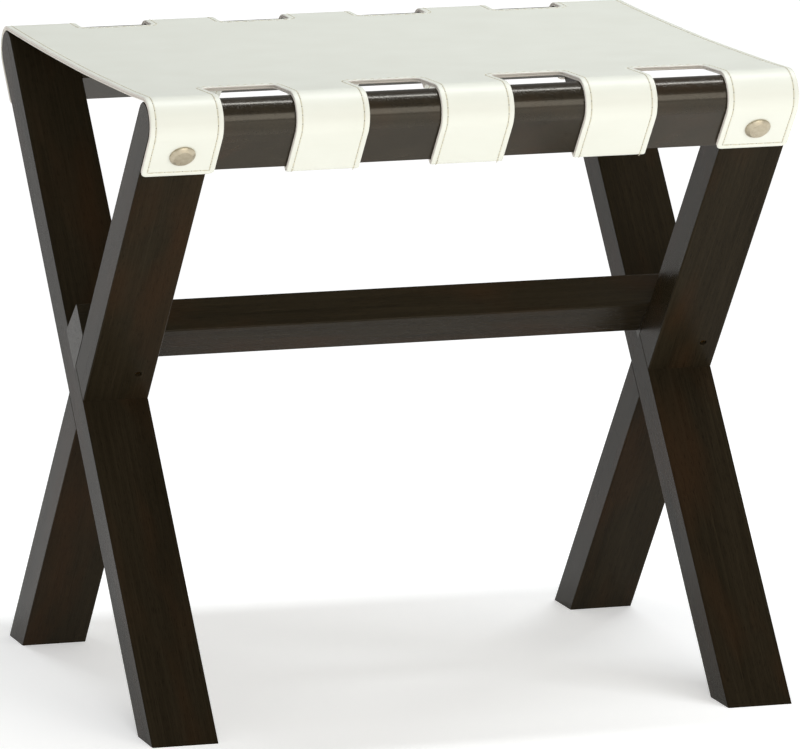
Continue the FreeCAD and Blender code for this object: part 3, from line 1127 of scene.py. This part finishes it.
def small_mesh(name: str, shape: bmesh.types.BMesh, finish: int) -> bpy.types.Mesh:
    """Turn a shape that is laid many times into a mesh.

    Args:
        name: the mesh's name.
        shape: the shape, which is used up.
        finish: place of its material in the piece that it joins.

    Returns:
        The mesh.
    """
    for face in shape.faces:
        face.smooth = True
        face.material_index = finish
    mesh = bpy.data.meshes.new(name)
    shape.to_mesh(mesh)
    shape.free()
    return mesh


def piece(name: str, shape: bmesh.types.BMesh) -> bpy.types.Object:
    """Turn a finished shape into an object of the scene.

    Args:
        name: the object's name.
        shape: its mesh, which is used up.

    Returns:
        The object.
    """
    mesh = bpy.data.meshes.new(name)
    shape.to_mesh(mesh)
    shape.free()
    made = bpy.data.objects.new(name, mesh)
    bpy.context.scene.collection.objects.link(made)
    return made


def dress(made: bpy.types.Object, node: str, slot: str, *materials: bpy.types.Material) -> None:
    """Give a new piece its materials and its body, and hide the imported node that it stands for.

    Args:
        made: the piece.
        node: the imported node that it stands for.
        slot: not used.
        materials: the piece's materials, in the order of its faces' indices.
    """
    for material in materials:
        made.data.materials.append(material)
    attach(made, BODY)
    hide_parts(node)


def refinish(name: str, material: bpy.types.Material) -> bpy.types.Object:
    """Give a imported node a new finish.

    Args:
        name: the node's name.
        material: the finish.

    Returns:
        The node's object.
    """
    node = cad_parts[name]
    node.material_slots[0].material = material
    return node


# ---- studio ---------------------------------------------------------------------------------
@dataclass(frozen=True)
class SoftBox:
    """A wide soft lamp that faces a point."""

    name: str
    place: Colour
    aim: Colour
    size: Spot
    power: float
    colour: Colour = (1, 1, 1)

    def build(self) -> bpy.types.Object:
        """Hang the lamp."""
        lamp = bpy.data.lights.new(self.name, "AREA")
        lamp.shape = "RECTANGLE"
        lamp.size, lamp.size_y = self.size
        lamp.energy = self.power
        lamp.color = self.colour
        made = bpy.data.objects.new(self.name, lamp)
        made.location = self.place
        made.rotation_euler = (Vector(self.aim) - Vector(self.place)).to_track_quat("-Z", "Y").to_euler()
        bpy.context.scene.collection.objects.link(made)
        return made


@dataclass(frozen=True)
class Studio:
    """Pale floor, soft lamps and an even white room."""

    floor_size: float = 30
    room: Colour = (1, 1, 1)
    room_light: float = 0.30
    lamps: tuple[SoftBox, ...] = (
        SoftBox("overhead", (0.5, 0.03, 2.4), (0.5, 0, 0.5), (2.6, 0.3), 36, (0.93, 0.965, 1)),
        SoftBox("front", (0.4, -3.3, 1.35), (0.1, 0, 0.4), (3.0, 1.6), 50, (1, 0.98, 0.93)),
    )

    def build(self) -> None:
        """Lay the floor, hang the lamps and light the room."""
        shape = bmesh.new()
        bmesh.ops.create_grid(shape, x_segments=8, y_segments=8, size=self.floor_size / 2)
        floor = piece("studio_floor", shape)
        floor.data.materials.append(PaleFloor().material())
        for lamp in self.lamps:
            lamp.build()
        world = bpy.data.worlds.new("room")
        world.use_nodes = True
        background = world.node_tree.nodes["Background"]
        background.inputs["Color"].default_value = (*self.room, 1)
        background.inputs["Strength"].default_value = self.room_light
        bpy.context.scene.world = world
        bpy.context.scene.view_settings.view_transform = "Standard"


@dataclass(frozen=True)
class Viewpoint:
    """Camera a little above the seat's height, in front of the rack and to its left."""

    place: Colour = (-2.19428, -7.16880, 1.62043)
    turn_right: float = math.radians(17.07084)
    look_down: float = math.radians(10.20242)
    roll: float = math.radians(-0.12884)
    lens: float = 380.32
    sensor_width: float = 36
    far: float = 60

    def build(self) -> bpy.types.Object:
        """Set up the camera.

        Returns:
            The camera, which the scene looks through.
        """
        camera = bpy.data.cameras.new("viewpoint")
        camera.lens = self.lens
        camera.sensor_width = self.sensor_width
        camera.clip_end = self.far
        made = bpy.data.objects.new("viewpoint", camera)
        tilt = Euler((math.pi / 2 - self.look_down, 0, -self.turn_right)).to_matrix()
        roll = Matrix.Rotation(self.roll, 3, "Z")
        made.rotation_euler = (tilt @ roll).to_euler()
        made.location = self.place
        bpy.context.scene.collection.objects.link(made)
        bpy.context.scene.camera = made
        return made


def main() -> None:
    """Build the rack's looks in order, then the studio and the camera."""
    logging.basicConfig(level=logging.INFO, format="%(name)s: %(message)s")
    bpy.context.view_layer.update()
    rack = RackFrame()
    half_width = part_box("seat_leather_face")[1].x
    pattern = SeatPattern(SeatCurve(rack), half_width)
    stud_metal = BrushedMetal("brushed_nickel", stain(190, 180, 158), stain(172, 161, 139),
                              (6 * MM, 0.25 * MM, 1), Coordinates.FLAT)
    nickel = stud_metal.material()
    made = StainedMembers(rack).build()
    made += SmallHardware().build()
    made += SewnSeat(pattern).build()
    made += [CornerStud(rack, pattern, rail, side).build(nickel) for rail in Rail for side in Side]
    for item in made:
        log.info("%s: %d faces", item.name, len(item.data.polygons))
    Studio().build()
    Viewpoint().build()


if __name__ == "__main__":
    main()
